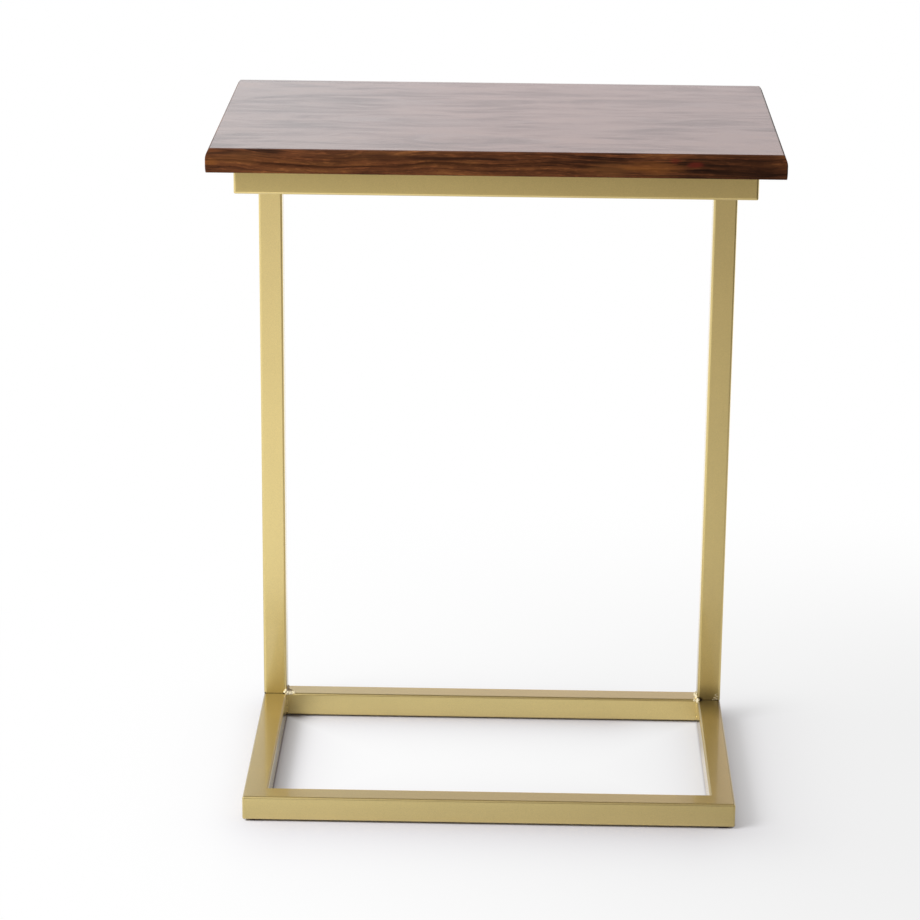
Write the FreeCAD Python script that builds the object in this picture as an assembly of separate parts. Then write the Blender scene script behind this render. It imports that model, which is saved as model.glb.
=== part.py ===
import FreeCAD, Part
import math
import os

# C-shaped side table: a wooden top screwed to a welded square-tube frame that stands on four pads.
# Millimetres. The origin is on the floor under the middle of the base, +Z is up, +X is to the right,
# and the open mouth of the C faces -Y, with the two uprights at the back.

# Whole table
TABLE_HEIGHT = 700.0
FRAME_WIDTH = 500.0
FRAME_DEPTH = 305.0

# Square steel tube of the frame
TUBE_SIDE = 25.0
TUBE_WALL = 1.5
TUBE_CORNER = 2.5

# Wooden top: how far it stands past the frame, and the moulding of its edge
TOP_THICKNESS = 23.0
SIDE_OVERHANG = 25.0
FRONT_OVERHANG = 20.0
TOP_CORNER = 1.5
UPPER_EDGE_INSET = 4.4
UPPER_EDGE_DROP = 11.0
LOWER_EDGE_INSET = 0.5
LOWER_EDGE_RISE = 6.0
BOARD_NAMES = ("front", "front_middle", "back_middle", "back")

# Foot pads
PAD_DIAMETER = 20.0
PAD_HEIGHT = 2.0
PAD_EASE = 0.6

# Weld beads: legs of the fillets at the ends of the uprights and inside the corners of a frame
UPRIGHT_WELD_LEG = 3.0
CORNER_WELD_LEG = 2.5

# Wood screws up through the top frame
SCREW_SHANK = 4.0
SCREW_HEAD = 8.0
SCREW_HEAD_HEIGHT = 3.0
SCREW_HEAD_ROUND = 1.2
SCREW_TIP = 5.0
SCREW_TIP_END = 0.6
SCREW_COVER = 6.0
SCREW_SPACING = 250.0
RECESS_LENGTH = 4.4
RECESS_WIDTH = 1.1
RECESS_DEPTH = 1.6
PILOT_CLEARANCE = 0.1
SHANK_CLEARANCE = 0.3
ACCESS_CLEARANCE = 1.5

# Levels, from the floor up
BASE_BOTTOM = PAD_HEIGHT
BASE_TOP = BASE_BOTTOM + TUBE_SIDE
TOP_FRAME_TOP = TABLE_HEIGHT - TOP_THICKNESS
TOP_FRAME_BOTTOM = TOP_FRAME_TOP - TUBE_SIDE

# Places that several pieces share
TOP_WIDTH = FRAME_WIDTH + 2 * SIDE_OVERHANG
TOP_DEPTH = FRAME_DEPTH + 2 * FRONT_OVERHANG
BOARD_WIDTH = TOP_DEPTH / len(BOARD_NAMES)
RAIL_X = (FRAME_WIDTH - TUBE_SIDE) / 2
RAIL_Y = (FRAME_DEPTH - TUBE_SIDE) / 2
INNER_X = FRAME_WIDTH / 2 - TUBE_SIDE
INNER_Y = FRAME_DEPTH / 2 - TUBE_SIDE

Y_AXIS = FreeCAD.Vector(0, 1, 0)
Z_AXIS = FreeCAD.Vector(0, 0, 1)


def point(x, y, z=0.0):
    return FreeCAD.Vector(x, y, z)


def moved(shape, x, y, z):
    shape.translate(point(x, y, z))
    return shape


def outline(points):
    """Closed wire of straight edges through the points."""
    return Part.makePolygon(points + points[:1])


def rounded_rectangle(width, depth, radius):
    """Closed wire round the origin in the XY plane, with arcs at its corners."""
    x = width / 2
    y = depth / 2
    if radius <= 0:
        return outline([point(-x, -y), point(x, -y), point(x, y), point(-x, y)])
    edges = []
    for turn in range(4):
        across, along = (x, y) if turn % 2 == 0 else (y, x)
        corner = point(across - radius, along - radius)
        arc = Part.makeCircle(radius, corner, Z_AXIS, 0, 90)
        side = Part.makeLine(point(across, radius - along), point(across, along - radius))
        for edge in (side, arc):
            edge.rotate(point(0, 0), Z_AXIS, 90 * turn)
            edges.append(edge)
    return Part.Wire(edges)


def square_tube(length):
    """Hollow tube along Z, its middle at the origin."""
    outer = rounded_rectangle(TUBE_SIDE, TUBE_SIDE, TUBE_CORNER)
    bore = TUBE_SIDE - 2 * TUBE_WALL
    inner = rounded_rectangle(bore, bore, TUBE_CORNER - TUBE_WALL)
    walls = Part.Face(outer).extrude(Z_AXIS * length)
    hollow = Part.Face(inner).extrude(Z_AXIS * length)
    return moved(walls.cut(hollow), 0, 0, -length / 2)


def mitred_rail(length, other_length):
    """Rail along X on the -Y side of a frame, in plan about the frame's middle, its underside at z = 0."""
    tube = square_tube(length + 2 * TUBE_SIDE)
    tube.rotate(point(0, 0), Y_AXIS, 90)
    moved(tube, 0, -(other_length - TUBE_SIDE) / 2, TUBE_SIDE / 2)
    half = length / 2
    side = -other_length / 2
    wide = TUBE_SIDE
    deep = 2 * TUBE_SIDE
    mitres = Part.Face(outline([
        point(-half - wide, side - wide),
        point(half + wide, side - wide),
        point(half - deep, side + deep),
        point(-half + deep, side + deep),
    ])).extrude(Z_AXIS * TUBE_SIDE)
    ground = Part.Face(rounded_rectangle(length, other_length, TUBE_CORNER)).extrude(Z_AXIS * TUBE_SIDE)
    return tube.common(mitres).common(ground)


def frame_rails(bottom):
    """The four rails of one frame by the side that they run along."""
    rails = {}
    for turn, side in enumerate(("front", "right", "back", "left")):
        lengths = (FRAME_WIDTH, FRAME_DEPTH) if turn % 2 == 0 else (FRAME_DEPTH, FRAME_WIDTH)
        rail = mitred_rail(*lengths)
        rail.rotate(point(0, 0), Z_AXIS, 90 * turn)
        rails[side] = moved(rail, 0, 0, bottom)
    return rails


def corner_signs():
    return [(x, y) for y in (-1, 1) for x in (-1, 1)]


def corner_welds(bottom):
    """Fillets in the four inner corners of a frame, on the flat part of the rails' inner faces."""
    welds = []
    for x, y in corner_signs():
        plan = outline([
            point(x * INNER_X, y * INNER_Y),
            point(x * (INNER_X - CORNER_WELD_LEG), y * INNER_Y),
            point(x * INNER_X, y * (INNER_Y - CORNER_WELD_LEG)),
        ])
        weld = Part.Face(plan).extrude(Z_AXIS * (TUBE_SIDE - 2 * TUBE_CORNER))
        welds.append(moved(weld, 0, 0, bottom + TUBE_CORNER))
    return welds


def upright(side):
    length = TOP_FRAME_BOTTOM - BASE_TOP
    return moved(square_tube(length), side * RAIL_X, RAIL_Y, BASE_TOP + length / 2)


def upright_weld(side, level, direction):
    """Fillet round the front and the inner face of an upright, on the rail face at this level."""
    outer_x = side * (FRAME_WIDTH / 2 - TUBE_CORNER)
    back_y = FRAME_DEPTH / 2 - TUBE_CORNER
    steps = []
    for leg, z in ((UPRIGHT_WELD_LEG, level), (0.0, level + direction * UPRIGHT_WELD_LEG)):
        inner_x = side * (INNER_X - leg)
        front_y = INNER_Y - leg
        steps.append(outline([
            point(outer_x, front_y, z),
            point(inner_x, front_y, z),
            point(inner_x, back_y, z),
            point(outer_x, back_y, z),
        ]))
    bead = Part.makeLoft(steps, True, True)
    stem = Part.Face(rounded_rectangle(TUBE_SIDE, TUBE_SIDE, TUBE_CORNER)).extrude(Z_AXIS * TABLE_HEIGHT)
    return bead.cut(moved(stem, side * RAIL_X, RAIL_Y, 0))


def edge_arc(radius, inset, widest_level, end_level):
    """Arc that leaves the widest line of the top's edge upright and ends inset from it, in the XZ plane."""
    height = end_level - widest_level
    bow = (height * height + inset * inset) / (2 * inset)
    half_turn = math.asin(height / bow) / 2
    middle = point(
        radius - bow + bow * math.cos(half_turn), 0, widest_level + bow * math.sin(half_turn))
    start = point(radius, 0, widest_level)
    end = point(radius - inset, 0, end_level)
    return Part.Arc(start, middle, end).toShape()


def edge_section(reach):
    """Half section of the top in the XZ plane, from its middle out to its moulded edge."""
    lower_level = LOWER_EDGE_RISE
    upper_level = TOP_THICKNESS - UPPER_EDGE_DROP
    edges = [
        Part.makeLine(point(0, 0, 0), point(reach - LOWER_EDGE_INSET, 0, 0)),
        edge_arc(reach, LOWER_EDGE_INSET, lower_level, 0.0),
        Part.makeLine(point(reach, 0, lower_level), point(reach, 0, upper_level)),
        edge_arc(reach, UPPER_EDGE_INSET, upper_level, TOP_THICKNESS),
        Part.makeLine(point(reach - UPPER_EDGE_INSET, 0, TOP_THICKNESS), point(0, 0, TOP_THICKNESS)),
        Part.makeLine(point(0, 0, TOP_THICKNESS), point(0, 0, 0)),
    ]
    return Part.Face(Part.Wire(Part.__sortEdges__(edges)))


def top_slab():
    """The whole top before it is parted into boards: the mouldings meet in mitres, its upright corners are eased."""
    moulded = []
    for across, along, turn in ((TOP_WIDTH, TOP_DEPTH, 0), (TOP_DEPTH, TOP_WIDTH, 90)):
        half = moved(edge_section(across / 2).extrude(Y_AXIS * along), 0, -along / 2, 0)
        other_half = half.copy()
        other_half.rotate(point(0, 0), Z_AXIS, 180)
        whole = half.fuse(other_half).removeSplitter()
        whole.rotate(point(0, 0), Z_AXIS, turn)
        moulded.append(whole)
    eased = Part.Face(rounded_rectangle(TOP_WIDTH, TOP_DEPTH, TOP_CORNER)).extrude(Z_AXIS * TOP_THICKNESS)
    slab = moulded[0].common(moulded[1]).common(eased).removeSplitter()
    return moved(slab, 0, 0, TOP_FRAME_TOP)


def board_middle(index):
    return (index + 0.5) * BOARD_WIDTH - TOP_DEPTH / 2


def screw_places():
    """Two screws up each long rail, and one up each side rail into every board between those rails."""
    places = [(x * SCREW_SPACING / 2, y * RAIL_Y) for x, y in corner_signs()]
    for index in range(1, len(BOARD_NAMES) - 1):
        places += [(x * RAIL_X, board_middle(index)) for x in (-1, 1)]
    return places


def upright_cylinder(diameter, bottom, top):
    return moved(Part.makeCylinder(diameter / 2, top - bottom), 0, 0, bottom)


def at_screws(make):
    """One of what the function makes at every screw's place."""
    return [moved(make(), x, y, 0) for x, y in screw_places()]


def wood_screw():
    """Pan-head screw whose head seats inside the rail, on its upper wall, and whose point ends in the wood."""
    seat = TOP_FRAME_TOP - TUBE_WALL
    tip = TABLE_HEIGHT - SCREW_COVER
    head = upright_cylinder(SCREW_HEAD, seat - SCREW_HEAD_HEIGHT, seat)
    lower_rim = [edge for edge in head.Edges if edge.BoundBox.ZMax < seat - SCREW_HEAD_HEIGHT / 2]
    head = head.makeFillet(min(SCREW_HEAD_ROUND, SCREW_HEAD_HEIGHT / 2), lower_rim)
    shank = upright_cylinder(SCREW_SHANK, seat, tip - SCREW_TIP)
    point_cone = moved(Part.makeCone(SCREW_SHANK / 2, SCREW_TIP_END / 2, SCREW_TIP), 0, 0, tip - SCREW_TIP)
    screw = head.multiFuse([shank, point_cone]).removeSplitter()
    for length, width in ((RECESS_LENGTH, RECESS_WIDTH), (RECESS_WIDTH, RECESS_LENGTH)):
        slot = Part.makeBox(length, width, RECESS_DEPTH)
        screw = screw.cut(moved(slot, -length / 2, -width / 2, seat - SCREW_HEAD_HEIGHT))
    return screw


def rail_holes():
    """Hole for the head through the rail's lower wall, and for the shank through its upper wall."""
    middle = (TOP_FRAME_BOTTOM + TOP_FRAME_TOP) / 2
    access = upright_cylinder(SCREW_HEAD + 2 * ACCESS_CLEARANCE, TOP_FRAME_BOTTOM - TUBE_WALL, middle)
    shank = upright_cylinder(SCREW_SHANK + 2 * SHANK_CLEARANCE, middle, TOP_FRAME_TOP + TUBE_WALL)
    return access.fuse(shank)


def pilot_hole():
    top = TABLE_HEIGHT - SCREW_COVER + PILOT_CLEARANCE
    return upright_cylinder(SCREW_SHANK + 2 * PILOT_CLEARANCE, TOP_FRAME_TOP - TUBE_WALL, top)


def top_boards():
    """The slab parted along its glue lines, each board with its own screws' holes."""
    slab = top_slab()
    holes = at_screws(pilot_hole)
    boards = {}
    for index, name in enumerate(BOARD_NAMES):
        strip = Part.makeBox(TOP_WIDTH, BOARD_WIDTH, TOP_THICKNESS)
        moved(strip, -TOP_WIDTH / 2, board_middle(index) - BOARD_WIDTH / 2, TOP_FRAME_TOP)
        boards[name] = slab.common(strip).cut(holes)
    return boards


def foot_pad():
    pad = upright_cylinder(PAD_DIAMETER, 0, PAD_HEIGHT)
    floor_rim = [edge for edge in pad.Edges if edge.BoundBox.ZMax < PAD_HEIGHT / 2]
    return pad.makeFillet(min(PAD_EASE, PAD_HEIGHT / 2), floor_rim)


def all_pieces():
    """Every node's name with its solids."""
    pieces = {}
    for side, rail in frame_rails(BASE_BOTTOM).items():
        pieces["base_" + side + "_rail"] = [rail]
    for side, rail in frame_rails(TOP_FRAME_BOTTOM).items():
        pieces["top_" + side + "_rail"] = [rail.cut(at_screws(rail_holes))]
    for name, side in (("left", -1), ("right", 1)):
        pieces[name + "_upright"] = [upright(side)]
        pieces[name + "_foot_weld"] = [upright_weld(side, BASE_TOP, 1)]
        pieces[name + "_head_weld"] = [upright_weld(side, TOP_FRAME_BOTTOM, -1)]
    pieces["base_corner_welds"] = corner_welds(BASE_BOTTOM)
    pieces["top_corner_welds"] = corner_welds(TOP_FRAME_BOTTOM)
    for x, y in corner_signs():
        name = "foot_pad_" + ("front" if y < 0 else "back") + ("_left" if x < 0 else "_right")
        pieces[name] = [moved(foot_pad(), x * RAIL_X, y * RAIL_Y, 0)]
    for name, board in top_boards().items():
        pieces["top_board_" + name] = [board]
    pieces["top_screws"] = at_screws(wood_screw)
    return pieces


def main():
    os.makedirs("parts", exist_ok=True)
    for name, shapes in all_pieces().items():
        solids = [solid for shape in shapes for solid in shape.Solids]
        if len(solids) != len(shapes) or not all(solid.isValid() for solid in solids):
            raise ValueError(name + " isn't one sound solid for each piece")
        node = solids[0] if len(solids) == 1 else Part.makeCompound(solids)
        node.exportStep(os.path.join("parts", name + ".step"))
        print(name, len(solids), "solids", round(sum(solid.Volume for solid in solids)), "mm3")


main()
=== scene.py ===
import math

import bmesh
import bpy
from bpy.props import FloatProperty, FloatVectorProperty, IntProperty, PointerProperty
from mathutils import Matrix, Vector


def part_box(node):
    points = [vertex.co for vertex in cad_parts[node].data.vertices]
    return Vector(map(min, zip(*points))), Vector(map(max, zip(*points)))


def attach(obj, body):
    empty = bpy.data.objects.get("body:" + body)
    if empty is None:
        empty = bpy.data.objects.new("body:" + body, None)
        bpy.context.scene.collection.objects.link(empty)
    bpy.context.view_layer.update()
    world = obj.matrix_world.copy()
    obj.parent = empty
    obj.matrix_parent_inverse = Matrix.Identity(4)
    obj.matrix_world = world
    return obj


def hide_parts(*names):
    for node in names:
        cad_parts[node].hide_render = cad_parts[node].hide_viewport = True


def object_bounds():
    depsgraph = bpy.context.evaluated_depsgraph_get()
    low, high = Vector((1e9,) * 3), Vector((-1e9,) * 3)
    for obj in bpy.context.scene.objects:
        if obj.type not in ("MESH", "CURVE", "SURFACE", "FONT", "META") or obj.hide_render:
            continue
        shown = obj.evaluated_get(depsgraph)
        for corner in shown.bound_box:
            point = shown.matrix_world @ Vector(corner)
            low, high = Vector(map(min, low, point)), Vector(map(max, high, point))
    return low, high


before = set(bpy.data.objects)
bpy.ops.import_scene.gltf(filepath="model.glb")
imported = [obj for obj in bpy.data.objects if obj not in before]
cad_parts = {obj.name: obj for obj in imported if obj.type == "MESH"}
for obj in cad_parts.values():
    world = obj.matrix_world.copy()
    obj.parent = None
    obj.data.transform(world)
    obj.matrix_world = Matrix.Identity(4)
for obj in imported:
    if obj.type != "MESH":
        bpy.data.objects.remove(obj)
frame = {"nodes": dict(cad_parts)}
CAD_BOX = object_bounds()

bl_info = {
    "name": "C-shaped Side Table",
    "version": (1, 0, 0),
    "blender": (4, 5, 0),
    "location": "3D View > Sidebar > Side Table",
    "description": "Dresses the side table's frame with wood, gold paint, welds and pads, and sets its stage",
    "category": "Object",
}

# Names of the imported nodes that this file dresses
BODY = "root"
BOARDS = ("top_board_front", "top_board_front_middle", "top_board_back_middle", "top_board_back")
TUBES = tuple(name for name in sorted(frame["nodes"]) if name.endswith(("_rail", "_upright")))
PADS = tuple(name for name in sorted(frame["nodes"]) if name.startswith("foot_pad_"))
SCREWS = ("top_screws",)
MM = 0.001


def joint_box(names):
    """Lowest and highest corner of several nodes together, in metres."""
    boxes = [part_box(name) for name in names]
    low = Vector([min(box[0][axis] for box in boxes) for axis in range(3)])
    high = Vector([max(box[1][axis] for box in boxes) for axis in range(3)])
    return low, high


TOP_LOW, TOP_HIGH = joint_box(BOARDS)
BASE_LOW, BASE_HIGH = joint_box([name for name in TUBES if name.startswith("base_")])
TOP_FRAME_LOW, TOP_FRAME_HIGH = joint_box([name for name in TUBES if name.startswith("top_")])
TUBE_SIDE = BASE_HIGH.z - BASE_LOW.z


# Kinds of settings

def length(name, description, default):
    return FloatProperty(
        name=name, description=description, default=default, min=0.0, precision=5, unit="LENGTH")


def amount(name, description, default):
    return FloatProperty(name=name, description=description, default=default, min=0.0)


def count(name, description, default):
    return IntProperty(name=name, description=description, default=default, min=2)


def turn(name, description, degrees):
    return FloatProperty(name=name, description=description, default=math.radians(degrees), unit="ROTATION")


def place(name, description, default):
    return FloatVectorProperty(name=name, description=description, default=default, size=3, unit="LENGTH")


def colour(name, description, red, green, blue):
    return FloatVectorProperty(
        name=name, description=description, default=(red / 255, green / 255, blue / 255), size=3,
        min=0.0, max=1.0, subtype="COLOR_GAMMA")


class SIDETABLE_PG_top(bpy.types.PropertyGroup):
    """Sizes of the wooden top's edge and the colours of its wood"""
    corner: length("Corner", "Plan radius of the corners at the widest line", 1.5 * MM)
    upper_inset: length("Upper inset", "How far the top face stands back from the widest line", 4.4 * MM)
    upper_drop: length("Upper drop", "Height of the curve above the widest line", 11.0 * MM)
    lower_inset: length("Lower inset", "How far the underside stands back from the widest line", 0.5 * MM)
    lower_rise: length("Lower rise", "Height of the curve below the widest line", 6.0 * MM)
    ease: length("Ease", "Sanding of the sharp edges", 0.3 * MM)
    corner_steps: count("Corner steps", "Facets round each corner", 6)
    edge_steps: count("Edge steps", "Facets up each curve of the edge", 6)
    edge_lacquer: amount("Edge lacquer", "Lacquer on the edge, as a share of that on the top face", 0.01)
    # Painted sheen: share of the top face's grain blended to the middle colour
    painted_sheen: amount("Veil", "Share of the grain that the lacquer evens out on the top face", 0.4)
    dark: colour("Dark", "Dark streaks of the wood", 40, 22, 13)
    middle: colour("Middle", "Main colour of the wood", 82, 47, 26)
    light: colour("Light", "Light streaks of the wood", 106, 66, 35)
    golden: colour("Golden", "Golden figure in the front board", 132, 80, 36)
    red: colour("Red", "Red fleck in the front board", 96, 34, 24)


class SIDETABLE_PG_frame(bpy.types.PropertyGroup):
    """Finish of the steel frame and sizes of its weld beads"""
    gold: colour("Gold", "Sprayed gold", 247, 224, 150)
    # The weld colour is a paler copy of the gold, a painted highlight on the uprights' beads
    weld: colour("Weld", "Paint where it pools on the weld beads", 255, 243, 206)
    bead: length("Bead", "Radius of a weld bead beside an upright", 1.2 * MM)
    corner_bead: length("Corner bead", "Radius of a weld bead in a frame's inner corner", 0.9 * MM)
    lump: length("Lump", "Radius of the lumps at the inner corners of the feet", 3.0 * MM)
    seam: length("Seam", "Width of the dark seam across the front of an upright's foot", 0.7 * MM)
    # Reach of the painted shade up an upright from its foot
    foot_shade_reach: length("Tint reach", "How far up an upright the weld's heat tinted the paint", 22.0 * MM)
    ripple: length("Ripple", "Distance between the ripples of a bead", 1.3 * MM)
    jitter: amount("Jitter", "How far ripples stray, in bead radii", 0.3)
    voxel: length("Voxel", "Size of the facets of a bead", 0.3 * MM)
    tube_corner: length("Tube corner", "Radius along the tube's edges", 2.5 * MM)
    ground_band: length("Ground band", "Width of the ground weld on each side of a mitre", 7.0 * MM)


class SIDETABLE_PG_small(bpy.types.PropertyGroup):
    """Colours of the pads and the screws"""
    pad: colour("Pad", "Felt of the foot pads", 48, 38, 30)
    zinc: colour("Zinc", "Plating of the screws", 190, 188, 180)


class SIDETABLE_PG_stage(bpy.types.PropertyGroup):
    """Floor, light and camera"""
    floor: colour("Floor", "Pale floor", 202, 201, 206)
    far_floor: colour("Far floor", "Warm floor far in front, as reflections show it", 255, 243, 229)
    floor_reach: length("Floor reach", "How far the floor runs to the back and the sides", 8.0)
    floor_front: length("Floor front", "How far the floor runs to the front", 2.7)
    shade_reach: length("Shade reach", "How far from a rail the floor's shade thins out", 0.05)
    inside_thin: amount("Inside thin", "How many times faster it thins out inside the base", 1.7)
    left_shade: amount("Left shade", "Share of that shade left of the base", 0.2)
    right_shade: amount("Right shade", "Share of that shade right of the base", 0.7)
    back_shade: amount("Back shade", "Share of that shade behind the base", 0.4)
    inside_level: amount("Inside level", "Level of the floor inside the base, as reflections show it", 0.64)
    sheet_right: length("Sheet right", "Right end of the white floor that reflections show", 1.2)
    white: colour("White", "Colour of the light from the backdrop and the room", 255, 244, 245)
    left_white: colour("Left white", "Colour of the room's light from the left", 255, 253, 255)
    backdrop: amount("Backdrop", "Level of the white backdrop behind the table", 1.1)
    fill: amount("Fill", "Level of the soft light from the rest of the room", 0.38)
    front_room: amount("Front room", "Level of the room in front of the table, as reflections show it", 0.6)
    room: amount("Room", "Level of the rest of the room, as reflections show it", 0.145)
    key_place: place("Key place", "Middle of the large soft lamp", (-1.5, -0.92, 1.5))
    key_size: length("Key size", "Side of the large soft lamp", 1.0)
    key_power: FloatProperty(
        name="Key power", description="Power of the large soft lamp", default=64.0, unit="POWER")
    key_shine: amount("Key shine", "Share of that lamp which glossy surfaces mirror", 0.5)
    lens: FloatProperty(name="Lens", description="Focal length", default=123.8, unit="CAMERA")
    camera_place: place("Camera place", "Where the camera stands", (0.02316, -3.09563, 1.33569))
    camera_yaw: turn("Camera yaw", "Turn to the right of straight ahead", -1.0704)
    camera_pitch: turn("Camera pitch", "Tilt below the horizon", 17.8263)
    camera_roll: turn("Camera roll", "Clockwise lean", -0.4975)


class SIDETABLE_PG_settings(bpy.types.PropertyGroup):
    """Everything that can be set on the side table"""
    top: PointerProperty(type=SIDETABLE_PG_top)
    frame: PointerProperty(type=SIDETABLE_PG_frame)
    small: PointerProperty(type=SIDETABLE_PG_small)
    stage: PointerProperty(type=SIDETABLE_PG_stage)


# Node helpers

def linear(shade, level=1.0):
    """Linear RGBA of an sRGB colour whose channels are multiplied by a level first."""
    channels = [min(1.0, level * channel) for channel in shade]
    channels = [c / 12.92 if c <= 0.04045 else ((c + 0.055) / 1.055) ** 2.4 for c in channels]
    return (*channels, 1.0)


def give(tree, socket, value):
    """Links a socket to the value, or sets it to a plain number, colour or name."""
    if isinstance(value, bpy.types.NodeSocket):
        tree.links.new(value, socket)
    else:
        socket.default_value = value


def feed(tree, node, **values):
    """Gives several inputs of a node; underscores stand for the spaces in their names."""
    for label, value in values.items():
        give(tree, node.inputs[label.replace("_", " ")], value)


def add_node(tree, kind, inputs=None, **settings):
    node = tree.nodes.new(kind)
    for name, value in settings.items():
        setattr(node, name, value)
    for key, value in (inputs or {}).items():
        give(tree, node.inputs[key], value)
    return node


def calc(tree, operation, *values):
    """Output of a Math node."""
    node = tree.nodes.new("ShaderNodeMath")
    node.operation = operation
    for socket, value in zip(node.inputs, values):
        give(tree, socket, value)
    return node.outputs[0]


def vector_calc(tree, operation, first, second=(0.0, 0.0, 0.0)):
    """Vector output of a Vector Math node; the second value of SCALE is a number."""
    node = tree.nodes.new("ShaderNodeVectorMath")
    node.operation = operation
    give(tree, node.inputs[0], first)
    give(tree, node.inputs["Scale" if operation == "SCALE" else 1], second)
    return node.outputs[0]


def span(tree, vector):
    """Length of a vector."""
    return add_node(tree, "ShaderNodeVectorMath", {0: vector}, operation="LENGTH").outputs["Value"]


def split(tree, vector):
    """X, Y and Z outputs of a vector."""
    return add_node(tree, "ShaderNodeSeparateXYZ", {"Vector": vector}).outputs


def join(tree, x, y, z):
    """Vector of three values."""
    return add_node(tree, "ShaderNodeCombineXYZ", {"X": x, "Y": y, "Z": z}).outputs[0]


def product(tree, first, *others):
    """All the values multiplied."""
    for value in others:
        first = calc(tree, "MULTIPLY", first, value)
    return first


def between(tree, share, first, second):
    """Value that lies this share of the way from the first to the second."""
    return calc(tree, "MULTIPLY_ADD", share, calc(tree, "SUBTRACT", second, first), first)


def remap(tree, value, low, high, to_low=0.0, to_high=1.0):
    """Smooth step from one range to another."""
    node = add_node(tree, "ShaderNodeMapRange", {
        "Value": value, "From Min": low, "From Max": high, "To Min": to_low, "To Max": to_high,
    }, interpolation_type="SMOOTHSTEP")
    return node.outputs["Result"]


def blend(tree, factor, first, second, mode="MIX"):
    """Colour output of a Mix node."""
    node = tree.nodes.new("ShaderNodeMix")
    node.data_type = "RGBA"
    node.blend_type = mode
    sockets = {socket.identifier: socket for socket in node.inputs}
    give(tree, sockets["Factor_Float"], factor)
    give(tree, sockets["A_Color"], first)
    give(tree, sockets["B_Color"], second)
    return next(socket for socket in node.outputs if socket.identifier == "Result_Color")


def dimmed(tree, shade, level):
    """Colour multiplied by a level."""
    return blend(tree, 1.0, shade, join(tree, level, level, level), "MULTIPLY")


def noise(tree, coordinates, detail=2.0, roughness=0.5, output="Fac"):
    return add_node(tree, "ShaderNodeTexNoise", {
        "Vector": coordinates, "Scale": 1.0, "Detail": detail, "Roughness": roughness,
    }, noise_dimensions="3D").outputs[output]


def new_group(name, inputs, outputs, tree_kind="ShaderNodeTree"):
    """Node group with its named sockets; returns the tree, what its input node gives and its output node."""
    tree = bpy.data.node_groups.new(name, tree_kind)
    for way, sockets in (("INPUT", inputs), ("OUTPUT", outputs)):
        for label, kind in sockets.items():
            tree.interface.new_socket(label, in_out=way, socket_type="NodeSocket" + kind)
    return tree, tree.nodes.new("NodeGroupInput").outputs, tree.nodes.new("NodeGroupOutput")


def shared_group(name):
    """Node group of this name, built the first time that it is needed."""
    if name not in bpy.data.node_groups:
        GROUP_BUILDERS[name]()
    return bpy.data.node_groups[name]


def use_group(tree, name, inputs):
    """Outputs of a shader node group placed in a tree."""
    return add_node(tree, "ShaderNodeGroup", inputs, node_tree=shared_group(name)).outputs


def new_material(name, **constants):
    """Material with a Principled shader whose plain values are set; returns it, its tree and its shader."""
    material = bpy.data.materials.new(name)
    material.use_nodes = True
    tree = material.node_tree
    shader = next(node for node in tree.nodes if node.type == "BSDF_PRINCIPLED")
    feed(tree, shader, **constants)
    return material, tree, shader


def object_place(tree):
    return add_node(tree, "ShaderNodeTexCoord").outputs["Object"]


def bump(tree, shader, height, strength, distance):
    node = add_node(tree, "ShaderNodeBump", {"Height": height, "Strength": strength, "Distance": distance})
    feed(tree, shader, Normal=node.outputs["Normal"])


# Shared surface effects

GRAIN = "Board Grain"
SPOT = "Figure Spot"
MOTTLE = "Surface Mottle"
PAINT = "Sprayed Paint"

# Cells of noise per metre of wood, along X and across it
SLOW_SWAY = (6.0, 10.0, 10.0)
QUICK_SWAY = (18.0, 70.0, 70.0)
DRIFT = (11.0, 42.0, 42.0)
FIBRE = (14.0, 700.0, 700.0)
FLECK = (110.0, 800.0, 800.0)
PORE = (160.0, 2600.0, 2600.0)
FRAY = (30.0, 260.0, 260.0)

# Cells of noise per metre of paint
PAINT_FLAKES = 2600.0
PAINT_PEEL = 420.0
PAINT_DRIFT = 16.0
GROUND_RIPPLES = 160.0


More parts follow.
